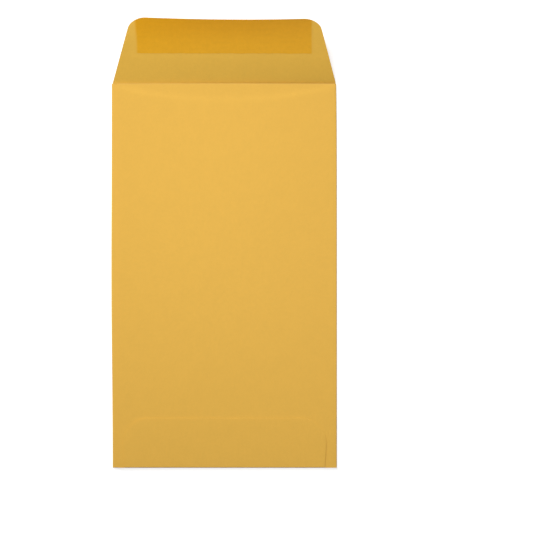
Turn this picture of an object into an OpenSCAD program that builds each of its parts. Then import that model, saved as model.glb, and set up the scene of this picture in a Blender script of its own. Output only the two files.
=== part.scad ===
// Manila pay envelope: one sheet of kraft paper, cut to a blank, folded into a pocket and glued.
// It lies on its front with the back up, as it comes from the box, and its seal flap stands slightly open.
// The pocket opens at the short end. +Y points to the seal flap, +Z out of the back.
// The origin is at the centre of the pocket's front, on the surface that the envelope lies on.

/* [Pocket] */
// Width of the pocket, from side fold to side fold
pocket_w = 80; // [60:1:120]
// Height of the pocket, from the bottom fold to the crease of the seal flap
pocket_h = 137; // [90:1:200]

/* [Paper] */
// Thickness of the sheet
paper_t = 0.12; // [0.08:0.01:0.25]
// Inside radius of the right side fold, which sets how far the pocket stands open
fold_r = 0.25; // [0.15:0.01:0.6]

/* [Back panel and seam] */
// Distance from the left side fold to the cut edge of the back panel
seam_gap = 1.8; // [1:0.1:6]
// Width of the seam flap that is folded in and glued under the back panel
seam_w = 12; // [8:0.5:20]
// How far the ends of the seam flap slant back
seam_slant = 3; // [0.5:0.5:8]
// Depth of the throat edge of the back panel below the crease
throat_drop = 0.4; // [0.2:0.1:5]
// Gap between the lower edge of the back panel and the start of the bottom fold
back_clear = 0.3; // [0.1:0.1:2]

/* [Bottom flap] */
// Height of the bottom flap, from the bottom fold to its edge
bottom_h = 17.6; // [14:0.2:30]
// Distance from each side fold to the side of the bottom flap, at its widest
bottom_inset = 3.7; // [2:0.1:10]
// How much narrower each side of the bottom flap is at the fold
bottom_waist = 0.6; // [0.1:0.1:1.5]
// Radius of the two corners of the bottom flap
bottom_corner_r = 9; // [3:0.5:12]
// Width of the notch on each side of the bottom fold
bottom_notch = 0.2; // [0.1:0.05:0.6]

/* [Seal flap] */
// Height of the seal flap, along the paper
seal_h = 23; // [16:0.5:40]
// How far each side of the seal flap slants in from the fold to its free edge
seal_taper = 6.2; // [3:0.1:12]
// Width of the small step between each side fold and the end of the crease
shoulder = 0.05; // [0.05:0.05:1.5]
// Radius of the two corners of the seal flap
seal_corner_r = 6; // [2:0.5:9]
// Hollow of the free edge at its middle
seal_hollow = 0.5; // [0.2:0.1:2]
// Inside radius of the crease
crease_r = 0.3; // [0.2:0.05:1]
// Angle at which the open flap stands up from the table
seal_lift = 12; // [4:1:60]

/* [Gum] */
// Height of the band of dried gum
gum_h = 12; // [5:0.5:14]
// Bare margin between the gum and the free edge
gum_margin = 0.3; // [0.2:0.1:2]
// Bare margin at each end of the gum, from where the side and the free edge would meet without a round corner
gum_end = 2.4; // [1:0.1:8]
// Thickness of the dried gum
gum_t = 0.04; // [0.02:0.01:0.1]

/* [Hidden] */

paper_colour = "#EAB956";
gum_colour = "#D89E2B";

// Facets of a full turn of the paper, and steps along a round corner and along the hollow of the free edge
bend_fn = 64;
corner_steps = 12;
hollow_steps = 16;

// A cut that has to pass right through reaches this much past the surface
past = 1;

// Heights of the layers. The back panel lies on the seam flap and under the bottom flap.
back_z = paper_t + 2 * fold_r;
seam_z = back_z - paper_t;
bottom_z = back_z + paper_t;

// Inside radii of the other two full folds, each from the front panel up to the layer that it leads to
seam_r = (seam_z - paper_t) / 2;
bottom_r = (bottom_z - paper_t) / 2;

// Lines about which the paper turns
right_axis = pocket_w / 2 - fold_r - paper_t;
left_axis = -pocket_w / 2 + seam_r + paper_t;
bottom_axis = -pocket_h / 2 + bottom_r + paper_t;
crease_y = pocket_h / 2;
throat_y = crease_y - throat_drop;

// Half widths at the crease, at the free edge of the seal flap and across the bottom flap
crease_half = min(right_axis, -left_axis) - shoulder;
seal_end_half = crease_half - seal_taper;
bottom_half = pocket_w / 2 - bottom_inset;
waist_half = bottom_half - bottom_waist;

// The side of the seal flap leans in by this angle
seal_lean = atan2(seal_taper, seal_h);

// A full fold of the sheet about the Y axis. The paper comes in flat below the axis,
// turns up through +X and goes back flat above the axis.
module full_fold(inner_r, length) {
    rotate([90, 0, 0])
        rotate([0, 0, -90])
            rotate_extrude(angle = 180, $fn = bend_fn)
                translate([inner_r, -length / 2])
                    square([paper_t, length]);
}

// A flat panel of the sheet, cut to the outline given as its child, with its underside at height z
module panel(z) {
    translate([0, 0, z])
        linear_extrude(paper_t)
            children();
}

// The cut-out for the bottom fold and its two notches, in the panels that end beside it
module fold_slot(top_y) {
    slot_w = 2 * (waist_half + bottom_notch);
    slot_h = top_y + pocket_h / 2 + past;
    translate([-slot_w / 2, top_y - slot_h])
        square([slot_w, slot_h]);
}

// Points along an arc, from one angle to another
function arc(centre, r, from, to, steps) = [
    for (i = [0:steps])
        let (a = from + (to - from) * i / steps)
            centre + r * [cos(a), sin(a)]
];

// Front panel, between the two side folds and from the bottom fold to the crease
module front_outline() {
    difference() {
        translate([left_axis, -pocket_h / 2])
            square([right_axis - left_axis, pocket_h]);
        fold_slot(bottom_axis);
    }
}

// Back panel, from its cut edge beside the left fold to the right fold
module back_outline() {
    cut_edge = -pocket_w / 2 + seam_gap;
    difference() {
        translate([cut_edge, -pocket_h / 2])
            square([right_axis - cut_edge, throat_y + pocket_h / 2]);
        fold_slot(bottom_axis + back_clear);
    }
}

// Seam flap, with its ends slanted back so that they stay hidden in the pocket
module seam_outline() {
    polygon([
        [left_axis, -pocket_h / 2],
        [left_axis + seam_w, -pocket_h / 2 + seam_slant],
        [left_axis + seam_w, throat_y - seam_slant],
        [left_axis, throat_y]
    ]);
}

// Bottom flap, slightly waisted at the fold, with two round corners
module bottom_outline() {
    centre_x = bottom_half - bottom_corner_r;
    centre_y = -pocket_h / 2 + bottom_h - bottom_corner_r;
    polygon(concat(
        [[waist_half, bottom_axis]],
        arc([centre_x, centre_y], bottom_corner_r, 0, 90, corner_steps),
        arc([-centre_x, centre_y], bottom_corner_r, 90, 180, corner_steps),
        [[-waist_half, bottom_axis]]
    ));
}

// Seal flap, from the crease at y = 0. Its sides lean in, its corners are round
// and its free edge is hollowed between them by one long shallow arc.
module seal_outline() {
    // The centre of a corner lies at the same distance from the free edge and from the leaning side
    side_x = seal_end_half + seal_corner_r * tan(seal_lean);
    centre_x = side_x - seal_corner_r / cos(seal_lean);
    centre_y = seal_h - seal_corner_r;
    hollow_r = (pow(centre_x, 2) + pow(seal_hollow, 2)) / (2 * seal_hollow);
    hollow_turn = asin(centre_x / hollow_r);
    polygon(concat(
        [[crease_half, 0]],
        arc([centre_x, centre_y], seal_corner_r, seal_lean, 90, corner_steps),
        arc([0, seal_h - seal_hollow + hollow_r], hollow_r, hollow_turn - 90, -hollow_turn - 90, hollow_steps),
        arc([-centre_x, centre_y], seal_corner_r, 90, 180 - seal_lean, corner_steps),
        [[-crease_half, 0]]
    ));
}

// Carries a sheet drawn from the crease at y = 0 onto the open flap, and lifts it off the paper by rise
module on_seal_flap(rise) {
    translate([0, crease_y, paper_t + crease_r])
        rotate([seal_lift, 0, 0])
            translate([0, 0, rise - paper_t - crease_r])
                children();
}

// The crease: the part of a rolled sheet that lies between the front panel and the open flap
module crease() {
    outer_r = crease_r + paper_t;
    crease_w = 2 * crease_half;
    intersection() {
        on_seal_flap(outer_r)
            rotate([0, 90, 0])
                difference() {
                    cylinder(r = outer_r, h = crease_w, center = true, $fn = bend_fn);
                    cylinder(r = crease_r, h = crease_w + past, center = true, $fn = bend_fn);
                }
        translate([-pocket_w / 2, crease_y, -outer_r])
            cube([pocket_w, 2 * outer_r, 2 * outer_r]);
        on_seal_flap(-outer_r)
            translate([-pocket_w / 2, -2 * outer_r, 0])
                cube([pocket_w, 2 * outer_r, 2 * outer_r]);
    }
}

// The slanted cut that gives the seal flap its left side runs on down through the seam side fold
module seam_shoulder_cut() {
    run = (left_axis + pocket_w / 2) / tan(seal_lean);
    over = past * tan(seal_lean);
    translate([0, 0, -past])
        linear_extrude(bottom_z + 2 * past)
            polygon([
                [left_axis, crease_y],
                [-pocket_w / 2 - over, crease_y - run - past],
                [-pocket_w / 2 - over, crease_y]
            ]);
}

// The two side folds run from the bottom edge to the throat
module side_fold(inner_r) {
    fold_l = throat_y + pocket_h / 2;
    translate([0, (throat_y - pocket_h / 2) / 2, paper_t + inner_r])
        full_fold(inner_r, fold_l);
}

module envelope() {
    color(paper_colour)
        union() {
            panel(0)
                front_outline();
            translate([right_axis, 0, 0])
                side_fold(fold_r);
            panel(back_z)
                back_outline();
            difference() {
                translate([left_axis, 0, 0])
                    mirror([1, 0, 0])
                        side_fold(seam_r);
                seam_shoulder_cut();
            }
            panel(seam_z)
                seam_outline();
            translate([0, bottom_axis, paper_t + bottom_r])
                rotate([0, 0, -90])
                    full_fold(bottom_r, 2 * waist_half);
            panel(bottom_z)
                bottom_outline();
            crease();
            on_seal_flap(0)
                linear_extrude(paper_t)
                    seal_outline();
        }
}

// Dried gum on the inner face of the seal flap. It stops short of the round corners and follows the free edge.
module flap_gum() {
    gum_half = seal_end_half - gum_end;
    color(gum_colour)
        on_seal_flap(paper_t)
            linear_extrude(gum_t)
                intersection() {
                    translate([-gum_half, seal_h - gum_margin - gum_h])
                        square([2 * gum_half, gum_h]);
                    translate([0, -gum_margin])
                        seal_outline();
                }
}

envelope();
flap_gum();
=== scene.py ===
import math

import bmesh
import bpy
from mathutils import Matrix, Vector, noise


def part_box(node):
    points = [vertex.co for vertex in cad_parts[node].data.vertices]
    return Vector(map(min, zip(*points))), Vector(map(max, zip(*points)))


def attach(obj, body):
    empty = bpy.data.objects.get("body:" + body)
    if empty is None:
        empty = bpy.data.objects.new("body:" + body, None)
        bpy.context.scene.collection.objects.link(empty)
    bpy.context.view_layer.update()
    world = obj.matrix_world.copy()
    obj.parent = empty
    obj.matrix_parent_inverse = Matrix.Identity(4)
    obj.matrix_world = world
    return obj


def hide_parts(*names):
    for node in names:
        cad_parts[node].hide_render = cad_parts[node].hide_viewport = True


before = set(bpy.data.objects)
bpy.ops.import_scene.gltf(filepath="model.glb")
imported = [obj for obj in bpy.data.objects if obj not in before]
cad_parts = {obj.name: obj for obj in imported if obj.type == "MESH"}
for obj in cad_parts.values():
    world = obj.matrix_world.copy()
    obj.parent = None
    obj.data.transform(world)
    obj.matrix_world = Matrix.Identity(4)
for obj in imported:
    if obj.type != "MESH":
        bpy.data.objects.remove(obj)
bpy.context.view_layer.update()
mm = 0.001

# Camera. The envelope lies on its front and is looked at from straight above, at arm's length, through a long
# lens. It lies to the left of the middle of the view, and fills most of its height.
low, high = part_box("envelope")
camera_height = 900 * mm
view_width = 199.1 * mm
view_middle = (19.8 * mm, low.y + 66.7 * mm)
bpy.ops.object.camera_add(location=(*view_middle, camera_height), rotation=(0, 0, 0))
camera = bpy.context.object
camera.data.sensor_width = 36
camera.data.lens = camera.data.sensor_width * camera_height / view_width
camera.data.clip_start = 100 * mm
camera.data.clip_end = 20
bpy.context.scene.camera = camera

# The envelope: one sheet of gold kraft paper, die-cut to a blank. A machine folds the seam flap in, the back
# panel over it and the bottom flap up over both, and glues them. The seal flap is creased back and forth
# once, so it stays a little open. All of it is one sheet, so it is one piece here.
half_width = high.x
half_length = -low.y
bottom_y = -half_length
crease_y = half_length
paper = 0.12 * mm
glue = 0.005 * mm
flap_glue = 0.03 * mm

# Heights of the middle of the paper in each layer
front_z = paper / 2
seam_z = 0.555 * mm
back_z = seam_z + paper + glue
flap_z = back_z + paper + flap_glue

# Where the throat lies, and where the two side folds and the bottom fold start
throat_y = crease_y - 0.5 * mm
right_fold = half_width - (paper + back_z - front_z) / 2
left_fold = -half_width + (paper + seam_z - front_z) / 2
bottom_fold = bottom_y + (paper + flap_z - front_z) / 2

# Seam flap, back panel and bottom flap. The bottom flap is narrowest at its fold, the waist, and a notch is
# cut beside it. Its rim is the strip that the glue draws down.
seam_width = 12 * mm
seam_slant = 3 * mm
back_edge = -half_width + 1.8 * mm
back_bottom = bottom_fold + 0.3 * mm
waist = 35.7 * mm
notch = waist + 0.06 * mm
bottom_half = 36.3 * mm
bottom_corner = 9 * mm
bottom_top = bottom_y + 17.6 * mm
rim_width = 0.8 * mm

# Crease and seal flap. The free edge is hollowed between the round corners, and cut a little out of square.
crease_half = 39.58 * mm
crease_width = 0.8 * mm
seal_height = 22.95 * mm
seal_half = 33.2 * mm
seal_corner = 5 * mm
corner_stretch = 1.3
corner_inside = seal_half - seal_corner
hollow = 0.5 * mm
skew = 0.17 * mm

# A point is at a place when it is this near to it, and within a bound with this much slack.
same_place = 0.002 * mm
slack = paper / 9


def near(value, target):
    return abs(value - target) < same_place


def choose(kind, place):
    """In edit mode, selects only the corners, edges or faces that lie wholly in a place."""
    bpy.ops.mesh.select_mode(type=kind)
    bpy.ops.mesh.select_all(action="DESELECT")
    mesh = bmesh.from_edit_mesh(bpy.context.edit_object.data)
    for part in {"VERT": mesh.verts, "EDGE": mesh.edges, "FACE": mesh.faces}[kind]:
        if all(place(corner.co) for corner in ([part] if kind == "VERT" else part.verts)):
            part.select_set(True)
    bmesh.update_edit_mesh(bpy.context.edit_object.data)


def cut(point, across, **clear):
    """Cuts what is selected with a plane through a point, square to the direction across."""
    bpy.ops.mesh.bisect(plane_co=point, plane_no=across, threshold=0.0001 * mm, **clear)


def cut_sheet(point, across):
    bpy.ops.mesh.select_all(action="SELECT")
    cut(point, across)


def pull(x=0, y=0):
    """Draws new paper out of the selected edges."""
    bpy.ops.mesh.extrude_region_move(TRANSFORM_OT_translate={"value": (x, y, 0)})


def fold_over(place, x, y, top_z, axis):
    """Turns the paper at the edges in a place right over, up to the height of the layer that it leads to."""
    choose("EDGE", place)
    middle = (x, y, (front_z + top_z) / 2)
    bpy.ops.mesh.spin(steps=12, angle=math.pi, center=middle, axis=axis)


# The front panel is a rectangle, and the rest is drawn out of its edges and folded.
bpy.ops.object.select_all(action="DESELECT")
bpy.ops.mesh.primitive_plane_add(size=1, location=((left_fold + right_fold) / 2, 0, front_z))
envelope = bpy.context.object
envelope.name = "folded_sheet"
envelope.scale = (right_fold - left_fold, crease_y - bottom_y, 1)
bpy.ops.object.transform_apply(location=True, rotation=True, scale=True)
bpy.ops.object.mode_set(mode="EDIT")
for x in (-crease_half, crease_half):
    cut_sheet((x, 0, 0), (1, 0, 0))

# Seal flap, drawn flat for now. Its sides lean in. It is drawn too long while its corners are rounded, so
# that they come out longer along the free edge than along the sides.
choose("EDGE", lambda p: near(p.y, crease_y) and abs(p.x) < crease_half + slack)
pull(y=seal_height * corner_stretch)
bpy.ops.transform.resize(value=(seal_half / crease_half, 1, 1), center_override=(0, 0, 0))
choose("VERT", lambda p: near(p.y, crease_y + seal_height * corner_stretch))
bpy.ops.mesh.bevel(affect="VERTICES", offset=seal_corner, segments=12, profile=0.5)
choose("VERT", lambda p: p.y > crease_y + paper)
bpy.ops.transform.resize(value=(1, 1 / corner_stretch, 1), center_override=(0, crease_y, 0))

# The front panel's lower edge is notched beside the bottom fold, and its top corners are cut away beside the
# crease.
for x in (-notch, -waist, waist, notch):
    cut_sheet((x, 0, 0), (1, 0, 0))
for y in (bottom_fold, back_bottom, throat_y):
    cut_sheet((0, y, 0), (0, 1, 0))
choose("FACE", lambda p: abs(p.x) < notch + slack and p.y < bottom_fold + slack)
bpy.ops.mesh.delete(type="FACE")
choose("FACE", lambda p: abs(p.x) > crease_half - slack and p.y > throat_y - slack)
bpy.ops.mesh.delete(type="FACE")

# Right side fold and back panel, whose lower edge makes room for the bottom fold
fold_over(lambda p: near(p.x, right_fold) and p.y < throat_y + slack, right_fold, 0, back_z, (0, 1, 0))
pull(x=notch - right_fold)
pull(x=-2 * notch)
pull(x=back_edge + notch)
choose("FACE", lambda p: near(p.z, back_z) and abs(p.x) < notch + slack and p.y < back_bottom + slack)
bpy.ops.mesh.delete(type="FACE")

# Left side fold and seam flap. The cut that shapes the seal flap's side runs on through the corner of this
# fold.
fold_over(lambda p: near(p.x, left_fold) and p.y < throat_y + slack, left_fold, 0, seam_z, (0, -1, 0))
pull(x=seam_width)
bpy.ops.transform.resize(
    value=(1, 1 - 2 * seam_slant / (throat_y - bottom_y), 1),
    center_override=(0, (throat_y + bottom_y) / 2, 0),
)
choose("FACE", lambda p: p.x < left_fold + slack)
side_lean = (seal_height, -(crease_half - seal_half), 0)
cut((left_fold, crease_y, 0), side_lean, clear_inner=True)

# Bottom fold and bottom flap, a little waisted at the fold, with two round corners. They are rounded a hair
# less than their full size, so that they stay clear of the cut across their lower ends.
corner_share = 0.999
fold_over(lambda p: near(p.y, bottom_fold) and abs(p.x) < waist + slack, 0, bottom_fold, flap_z, (1, 0, 0))
pull(y=bottom_top - bottom_corner - bottom_fold)
bpy.ops.transform.resize(value=(bottom_half / waist, 1, 1), center_override=(0, 0, 0))
pull(y=bottom_corner)
choose("VERT", lambda p: near(p.y, bottom_top) and near(p.z, flap_z))
bpy.ops.mesh.bevel(affect="VERTICES", offset=bottom_corner * corner_share, segments=12, profile=0.5)

# A fine grid of cuts, none of which is a crease, lets every layer bow and curl as paper does. It is closest
# below the throat and across the crease.
column = 1 * mm
columns = 80
rows = 92
throat_row = 0.4 * mm
throat_rows = 20
crease_row = 0.1 * mm
crease_rows = 8
flap_rows = 45
for i in range(1, columns):
    cut_sheet((-half_width + i * column, 0, 0), (1, 0, 0))
for i in range(1, rows):
    cut_sheet((0, bottom_y + i * (throat_y - bottom_y) / rows, 0), (0, 1, 0))
for i in range(1, throat_rows):
    cut_sheet((0, throat_y - i * throat_row, 0), (0, 1, 0))
for i in (1, 2):
    cut_sheet((0, bottom_top - i * rim_width / 2, 0), (0, 1, 0))
cut_sheet((0, bottom_fold + paper, 0), (0, 1, 0))
for x in (left_fold + paper, right_fold - paper):
    cut_sheet((x, 0, 0), (1, 0, 0))
for i in range(-crease_rows, crease_rows):
    cut_sheet((0, crease_y + i * crease_row, 0), (0, 1, 0))
for i in range(1, flap_rows):
    cut_sheet((0, crease_y + seal_height * i / flap_rows, 0), (0, 1, 0))
bpy.ops.mesh.select_all(action="SELECT")
bpy.ops.mesh.remove_doubles(threshold=0.001 * mm)
bpy.ops.mesh.normals_make_consistent(inside=False)
bpy.ops.object.mode_set(mode="OBJECT")
if min(envelope.data.polygons, key=lambda face: face.center.length).normal.z > 0:
    envelope.data.flip_normals()

# The cut out of square moves the free edge to the right and makes it a little wider.
edge_shift = 1.25 * skew
edge_spread = 0.72 * skew


def flap_length(x):
    """Length of the seal flap at x: its free edge is one long shallow hollow, cut a little out of square."""
    side = x / corner_inside
    return seal_height - hollow * max(0, 1 - side * side) - skew * (1 + side)


for corner in envelope.data.vertices:
    share = (corner.co.y - crease_y) / seal_height
    if share > 0:
        corner.co.y -= (seal_height - flap_length(corner.co.x)) * share**4
        corner.co.x += (edge_shift + edge_spread * corner.co.x / corner_inside) * share
flat_sheet = envelope.data.copy()

# The folds spring, so the back bows off the front. It bows less at the mouth, and a lip below the throat,
# bounded by a shallow arc, lies lower. The side folds and the bottom fold hold it down.
bow_height = 0.9 * mm
mouth_length = 40 * mm
mouth_ease = 0.31 * mm
lip_depth = 5.6 * mm
lip_bend = 0.95 * mm
lip_drop = 0.17 * mm
edge_lift = 0.03 * mm
side_hold = 0.05 * mm
foot_hold = 0.03 * mm
wave_height = 0.05 * mm


def blend(value, start, end):
    """0 before the start, 1 after the end and a smooth step between them."""
    share = min(1, max(0, (value - start) / (end - start)))
    return share * share * (3 - 2 * share)


def bulge(x, y):
    """Height by which the back stands off the front, beyond that of its flat layer."""
    across = max(0, 1 - (x / half_width) ** 2)
    up = min(1, (y - bottom_y) / (0.7 * (throat_y - bottom_y)))
    mouth = blend(y, throat_y - mouth_length, throat_y)
    lip = (throat_y - y - lip_depth * across**0.8) / lip_bend
    side = max(0, 1 - (half_width - abs(x)) / (1.1 * mm))
    foot = max(0, 1 - (y - bottom_y) / (3.5 * mm))
    wave = noise.noise(Vector((x / (26 * mm), y / (34 * mm), 4.2)))
    return (
        (bow_height - mouth_ease * mouth) * across**1.2 * up * (2 - up)
        - lip_drop * across**0.5 * (1 - 0.7 * across) * (1 - math.tanh(lip))
        + edge_lift * across**0.6 * blend(x, 0, 34 * mm) * math.exp((y - throat_y) / (0.6 * mm))
        - side_hold * side**2
        - foot_hold * foot**2
        + wave_height * wave * across
    )


# The sides give as well. The gaping mouth draws in the right fold, and the left fold leans in at the foot and
# bows out a little halfway up.
mouth_pull = 0.25 * mm
foot_lean = 0.35 * mm
foot_reach = 60 * mm
side_bow = 0.13 * mm
side_middle = 4 * mm
side_reach = 26 * mm


def draw_in(x, y):
    """Sideways give of the pocket."""
    right = blend(x, half_width / 2, half_width) * math.exp((y - throat_y) / (12 * mm))
    left = blend(-x, half_width / 2, half_width)
    lean = foot_lean * blend(bottom_y + foot_reach - y, 0, foot_reach)
    lean -= side_bow * math.exp(-(((y - side_middle) / side_reach) ** 2))
    return lean * left - mouth_pull * right


# Where the damp gum has cockled the seal flap, and how much of its free edge curls up
cockle_run = 9.6 * mm
curl_width = 0.7 * mm


def flap_angle(run, x):
    """Angle of the open seal flap at a distance from the crease. It leaves the crease steeply, levels off
    over the bare paper and turns up again along the gum and at the free edge, and it is twisted so that its
    right side stands higher."""
    turn = x / half_width
    start = blend(run, -crease_width, (0.1 - 0.4 * turn) * mm)
    share = max(0, run) / seal_height
    root = 13.3 + 5.6 * turn
    level = 12.8 + 10.5 * turn + 6.3 * turn**2
    tip = 9.3 + 11.3 * turn
    crease = 5 * max(0, turn) * math.exp(-((run / (0.35 * mm)) ** 2))
    cockle = 1.8 * math.exp(-(((run - cockle_run) / (0.9 * mm)) ** 2))
    corners = (2.9 - 0.4 * turn) * turn**4 * blend(share, 0, 0.5)
    edge = (5 + 3 * turn) * blend(run, flap_length(x) - curl_width, flap_length(x))
    ripple = 0.5 * noise.noise(Vector((x / (9 * mm), run / (14 * mm), 7.7))) * blend(run, 0, 12 * mm)
    curve = root - level * share + tip * share**2
    return math.radians(start * (curve + crease - cockle + corners + edge + ripple))


# How much of its round a pressed fold gives up, and over what width the paper beside it takes that up
squeeze = 0.45
squeeze_fade = 1 * mm


def pressed(value, end, layer_z):
    """The machine presses a fold nearly flat: its round is squeezed towards the end and the paper runs on to
    it."""
    radius = (layer_z - front_z) / 2
    depth = (end - paper / 2) - abs(value)
    give = squeeze * min(max(depth, 0), radius) * (1 - min(1, max(0, depth - radius) / squeeze_fade))
    return math.copysign(abs(value) + give, value)


# How far the glue draws the rim down, along its straight edge, and how much further at its corners
rim_sink = 0.005 * mm
rim_corner_sink = 0.03 * mm


def rim_drop(x, y):
    """The glue draws the rim of the bottom flap down onto the back, most of all at its corners."""
    aside = max(0, abs(x) - (bottom_half - bottom_corner))
    above = max(0, y - (bottom_top - bottom_corner))
    inward = bottom_corner - math.hypot(aside, above)
    depth = rim_sink + rim_corner_sink * blend(aside, 2 * mm, 7 * mm)
    return depth * max(0, 1 - inward / rim_width)


def open_up(mesh):
    """Presses the folds, bows the back of the flat sheet off its front, and curls the seal flap up from the
    crease. The flap is followed along its curve in short steps."""
    step = 0.2 * mm
    for corner in mesh.vertices:
        x, y, z = corner.co
        run = y - crease_y
        beside = 1 - blend(run, throat_y - crease_y, 0)
        layer_z = back_z if x > 0 else seam_z
        x += beside * (pressed(x, half_width, layer_z) - x + draw_in(x, min(y, throat_y)))
        if near(z, flap_z) and y > bottom_fold:
            z -= rim_drop(x, y)
        if y < 0:
            y = pressed(y, half_length, flap_z)
        if run <= 0 and (run <= -crease_width or not near(z, front_z)):
            share = min(1, max(0, (z - front_z) / (seam_z - front_z)))
            corner.co = (x, y, z + share * bulge(x, y))
            continue
        length = run + crease_width
        count = max(1, round(length / step))
        angles = [flap_angle(length * (i + 0.5) / count - crease_width, x) for i in range(count)]
        ahead = sum(math.cos(angle) for angle in angles) * length / count
        risen = sum(math.sin(angle) for angle in angles) * length / count
        lean = flap_angle(run, x)
        above = z - front_z
        y = crease_y - crease_width + ahead - math.sin(lean) * above
        z = front_z + risen + math.cos(lean) * above
        corner.co = (x, y, z)
    mesh.update()


def thicken(piece, thickness):
    """Gives a bare surface its thickness, and smooth shading with crisp cut edges. The side that faced out
    keeps the first material, and the inside and the cut edge get the second and the third."""
    bpy.ops.object.select_all(action="DESELECT")
    bpy.context.view_layer.objects.active = piece
    piece.select_set(True)
    bpy.ops.object.modifier_add(type="SOLIDIFY")
    wall = piece.modifiers[-1]
    wall.thickness = thickness
    wall.offset = 0
    wall.use_even_offset = True
    wall.material_offset = 1
    wall.material_offset_rim = 2
    bpy.ops.object.modifier_apply(modifier=wall.name)
    bpy.ops.object.shade_smooth_by_angle(angle=math.radians(35))


open_up(envelope.data)


class Shade:
    """A socket of a material. A sum written on it adds the Math nodes that work it out."""

    def __init__(self, tree, socket=None):
        self.tree = tree
        self.socket = socket

    def node(self, kind, settings=None, sockets=None, output=0):
        """Adds a node, makes its settings, fills or links its sockets, and returns one of its outputs."""
        made = self.tree.nodes.new("ShaderNode" + kind)
        for name, value in (settings or {}).items():
            setattr(made, name, value)
        for name, value in (sockets or {}).items():
            if isinstance(value, Shade):
                self.tree.links.new(value.socket, made.inputs[name])
            else:
                made.inputs[name].default_value = value
        return Shade(self.tree, made.outputs[output])

    def beside(self, output):
        """Another output of the node that this one comes from."""
        return Shade(self.tree, self.socket.node.outputs[output])

    def math(self, operation, first, second=0, third=0):
        return self.node("Math", {"operation": operation}, {0: first, 1: second, 2: third})

    def __add__(self, other):
        return self.math("ADD", self, other)

    def __sub__(self, other):
        return self.math("SUBTRACT", self, other)

    def __rsub__(self, other):
        return self.math("SUBTRACT", other, self)

    def __mul__(self, other):
        return self.math("MULTIPLY", self, other)

    def __truediv__(self, other):
        return self.math("DIVIDE", self, other)

    __radd__ = __add__
    __rmul__ = __mul__

    def ramp(self, start, end):
        """0 where this is at the start, 1 where it is at the end, and a smooth step between them."""
        settings = {"interpolation_type": "SMOOTHSTEP"}
        return self.node("MapRange", settings, {"Value": self, "From Min": start, "From Max": end})

    def noise(self, place, size, detail=2, roughness=0.5):
        """Cloudy noise from -1 to 1, with patches of about this size."""
        sockets = {"Vector": place, "Scale": 1 / size, "Detail": detail, "Roughness": roughness}
        return self.node("TexNoise", {}, sockets) * 2 - 1

    def turned(self, place, angle, stretch):
        """The place, turned in the sheet and drawn out along it, for a pattern of long fibres."""
        sockets = {"Vector": place, "Rotation": (0, 0, math.radians(angle)), "Scale": (stretch, 1, 1)}
        return self.node("Mapping", {"vector_type": "TEXTURE"}, sockets)

    def tinted(self, colour, light):
        """A colour made lighter or darker by a number that varies about 1."""
        return self.node("VectorMath", {"operation": "SCALE"}, {0: colour, "Scale": light})

    def mixed(self, share, one, other):
        return self.node("Mix", {"data_type": "RGBA"}, {0: share, 6: one, 7: other}, output=2)

    def bumped(self, height, tooth):
        """The normal of a surface with a fine tooth."""
        return self.node("Bump", {}, {"Height": height, "Strength": tooth, "Distance": 0.02 * mm})


def new_material(name):
    """A material with an empty Principled shader, and its first Shade."""
    material = bpy.data.materials.new(name)
    material.use_nodes = True
    tree = material.node_tree
    return material, tree.nodes["Principled BSDF"], Shade(tree)


def feed(shader, name, shade):
    shade.tree.links.new(shade.socket, shader.inputs[name])


# The colour of the paper inside, and the lighter colour and the widths of the bands painted along the folds
# and the crease: partly wear, partly a painted highlight
inside_colour = (0.762, 0.444, 0.064)
wear_and_highlight_colour = (0.9, 0.6, 0.2, 1)
wear_and_highlight_fold = 0.5 * mm
wear_and_highlight_throat = 0.6 * mm


def kraft(name, colour, dull, shine, tooth, wear_and_highlight_share, mottle):
    """Kraft paper: clouds of denser pulp, a felt of fine fibres, and a lighter colour painted along the folds
    and the crease, partly as wear and partly as a painted highlight."""
    material, shader, shade = new_material(name)
    place = shade.node("TexCoord", output="Object")
    x = shade.node("SeparateXYZ", {}, {0: place})
    y = x.beside("Y")
    clouds = shade.noise(place, 4.5 * mm, detail=3, roughness=0.6)
    pulp = shade.noise(place, 1.1 * mm, detail=3, roughness=0.6)
    felt = sum(
        (shade.noise(shade.turned(place, angle, 9), 0.16 * mm, detail=2) for angle in (4, 63, 121)),
        start=shade.noise(shade.turned(place, 92, 14), 0.3 * mm, detail=1),
    )
    # Bands along the side folds, the foot and the crease are painted lighter: partly wear, partly a painted
    # highlight
    side = (shade.math("ABSOLUTE", x) - (half_width - wear_and_highlight_fold)) / wear_and_highlight_fold
    foot = ((bottom_y + wear_and_highlight_fold) - y) / wear_and_highlight_fold
    throat = 1 - shade.math("ABSOLUTE", y - throat_y) / wear_and_highlight_throat
    fold = shade.math("MAXIMUM", shade.math("MAXIMUM", side, foot), throat).ramp(0, 1)
    wear_and_highlight = fold * (0.5 + 0.4 * shade.noise(place, 0.8 * mm))
    light = 1 + mottle * (0.026 * clouds + 0.032 * pulp) + 0.008 * felt
    feed(shader, "Base Color", shade.mixed(wear_and_highlight * wear_and_highlight_share, shade.tinted(colour, light), wear_and_highlight_colour))
    feed(shader, "Roughness", dull + 0.03 * felt + 0.02 * pulp + 0.1 * wear_and_highlight)
    feed(shader, "Normal", shade.bumped(felt * 0.5 + pulp, tooth))
    shader.inputs["Specular IOR Level"].default_value = shine
    return material


outside = kraft(
    "kraft_outside", (0.826, 0.475, 0.076), dull=0.66, shine=0.2, tooth=0.5, wear_and_highlight_share=0.3, mottle=1
)
inside = kraft(
    "kraft_inside", inside_colour, dull=0.7, shine=0.12, tooth=0.8, wear_and_highlight_share=0.2, mottle=1.3
)
cut_edge = kraft(
    "kraft_cut_edge", (0.86, 0.55, 0.14), dull=0.7, shine=0.2, tooth=0.8, wear_and_highlight_share=0, mottle=1
)
for finish in (outside, inside, cut_edge):
    envelope.data.materials.append(finish)
thicken(envelope, paper)
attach(envelope, "root")
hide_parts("envelope")

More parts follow.
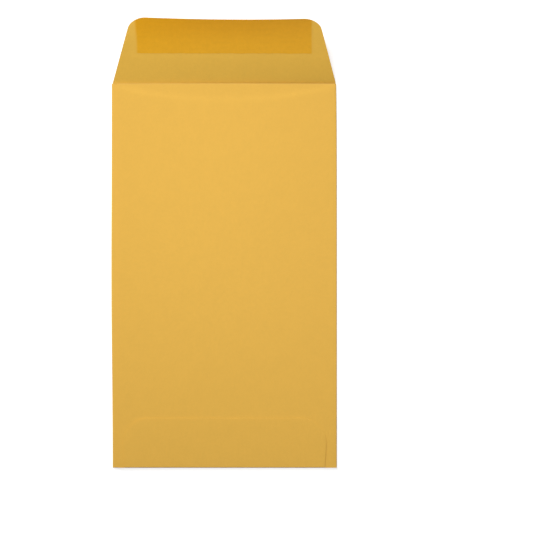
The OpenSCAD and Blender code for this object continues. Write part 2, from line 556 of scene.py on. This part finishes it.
# The gum: a thin coat of adhesive that a roller lays on the inner face of the seal flap and that dries to a
# dull shine. It stops short of the flap's round corners, runs up to the free edge, and fades out at its ends.
gum_half = 31.3 * mm
gum_start = 10.3 * mm
gum_margin = 0.08 * mm
gum_slant = 0.06
film = 0.04 * mm
sunk = 0.012 * mm
gum = bpy.data.objects.new("gum_band", flat_sheet)
bpy.context.scene.collection.objects.link(gum)
bpy.ops.object.select_all(action="DESELECT")
bpy.context.view_layer.objects.active = gum
gum.select_set(True)
bpy.ops.object.mode_set(mode="EDIT")
choose("FACE", lambda p: p.y < crease_y + gum_start)
bpy.ops.mesh.delete(type="FACE")
bpy.ops.mesh.select_all(action="SELECT")
bpy.ops.transform.translate(value=(0, -gum_margin, paper / 2 + film / 2 - sunk))
cut((0, crease_y + gum_start, 0), (0, 1, 0), clear_inner=True)
for side in (-1, 1):
    bpy.ops.mesh.select_all(action="SELECT")
    slant = gum_slant if side < 0 else 0
    cut((side * gum_half, crease_y + gum_start, 0), (side, -slant, 0), clear_outer=True)
bpy.ops.mesh.select_all(action="SELECT")
bpy.ops.mesh.flip_normals()
bpy.ops.object.mode_set(mode="OBJECT")

# The roller leaves the lower edge and the ends of the coat a little wavy.
edge_wave = 0.15 * mm
end_wave = 0.2 * mm
wavy_width = 2 * mm
for corner in gum.data.vertices:
    x, run = corner.co.x, corner.co.y - crease_y
    wander = edge_wave * noise.noise(Vector((x / (2.5 * mm), 0, 1.3)))
    corner.co.y += wander * (1 - blend(run, gum_start, gum_start + wavy_width))
    wander = end_wave * noise.noise(Vector((run / (3 * mm), 5.1, x)))
    corner.co.x += wander * blend(abs(x), gum_half - wavy_width, gum_half)
open_up(gum.data)

# The coat is lightest where it is thin, at its lower edge, and darkest at the middle of the free edge.
thin_gum = (0.76, 0.372, 0.013, 1)
thick_gum = (0.648, 0.296, 0.006, 1)
thin_y = crease_y + 11 * mm
thick_y = crease_y + 22.8 * mm
dried, shader, shade = new_material("gum_coat")
place = shade.node("TexCoord", output="Object")
x = shade.node("SeparateXYZ", {}, {0: place})
y = x.beside("Y")
patches = shade.noise(place, 9 * mm, detail=2)
specks = shade.noise(place, 1.3 * mm, detail=4, roughness=0.65)
streaks = shade.noise(shade.turned(place, 0, 8), 0.9 * mm, detail=2)
slanted = x + gum_slant * (y - (crease_y + gum_start))
left_end = (slanted + patches * (0.4 * mm)).ramp(-gum_half - 0.3 * mm, -gum_half + 0.9 * mm)
right_end = (x + patches * (0.2 * mm)).ramp(gum_half, gum_half - 0.6 * mm)
ends = left_end * right_end
aside = x / gum_half
thick = y.ramp(thin_y, thick_y) * (1 - 0.3 * aside * aside)
coat = shade.mixed(thick, thin_gum, thick_gum)
colour = shade.tinted(coat, 1 + 0.018 * patches + 0.08 * specks + 0.035 * streaks)
feed(shader, "Base Color", shade.mixed(ends, (*inside_colour, 1), colour))
feed(shader, "Roughness", 0.62 - ends * (0.22 + 0.05 * specks))
feed(shader, "Normal", shade.bumped(specks + streaks * 0.5, 0.5))
shader.inputs["Specular IOR Level"].default_value = 0.1
gum.data.materials.append(dried)
thicken(gum, film)
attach(gum, "root")
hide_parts("flap_gum")

# The table: a wide white sweep just under the paper. Seen directly or in a shine it is white, and it takes
# the shadow. Far from the envelope the lamps light it less, so there it glows more.
table_size = 8
table_gap = 0.03 * mm
near_glow = (0.6, 0.6, 0.6, 1)
far_glow = (0.9, 0.9, 0.9, 1)


def seen_ray(shade):
    """1 or more on a ray that shows the background, to the camera, in a shine or through glass, and 0 on one
    that only carries light."""
    camera_ray = shade.node("LightPath")
    others = ("Is Glossy Ray", "Is Transmission Ray")
    return sum((camera_ray.beside(name) for name in others), start=camera_ray)


bpy.ops.mesh.primitive_plane_add(size=table_size, location=(0, 0, -table_gap))
table = bpy.context.object
table.name = "table"
white, shader, shade = new_material("white_table")
seen = seen_ray(shade).ramp(0, 1)
shader.inputs["Base Color"].default_value = (0.8, 0.8, 0.8, 1)
shader.inputs["Roughness"].default_value = 0.9
shader.inputs["Specular IOR Level"].default_value = 0
shader.inputs["Emission Strength"].default_value = 1
place = shade.node("TexCoord", output="Object")
far = shade.node("VectorMath", {"operation": "LENGTH"}, {0: place}, output=1).ramp(0.2, 1.2)
glow = shade.mixed(far, near_glow, far_glow)
feed(shader, "Emission Color", shade.mixed(seen, (0, 0, 0, 1), glow))
table.data.materials.append(white)

# The light: a soft box beyond the head of the envelope and to its left, which models its folds, a small soft
# lamp close above, under which the paper darkens towards its foot, and the pale room around.
room_light = 0.1
room_seen = 1.0


def soft_lamp(name, place, aim, size, power):
    bpy.ops.object.light_add(type="AREA", location=place)
    lamp = bpy.context.object
    lamp.name = name
    lamp.data.shape = "DISK"
    lamp.data.size = size
    lamp.data.energy = power
    lamp.rotation_euler = (Vector(aim) - lamp.location).to_track_quat("-Z", "Y").to_euler()
    lamp.visible_camera = False


soft_lamp("soft_box", (-0.464, 0.663, 0.395), aim=(0, 0.02, 0), size=0.3, power=8.0)
soft_lamp("lamp_above", (0.034, 0.02, 0.206), aim=(0.016, 0.016, 0), size=0.2, power=0.219)
world = bpy.data.worlds.new("pale_room")
world.use_nodes = True
bpy.context.scene.world = world
shade = Shade(world.node_tree)
background = world.node_tree.nodes["Background"]
sockets = {"Value": seen_ray(shade), "To Min": room_light, "To Max": room_seen}
feed(background, "Strength", shade.node("MapRange", {}, sockets))
background.inputs["Color"].default_value = (1, 1, 1, 1)
bpy.context.scene.view_settings.view_transform = "Standard"
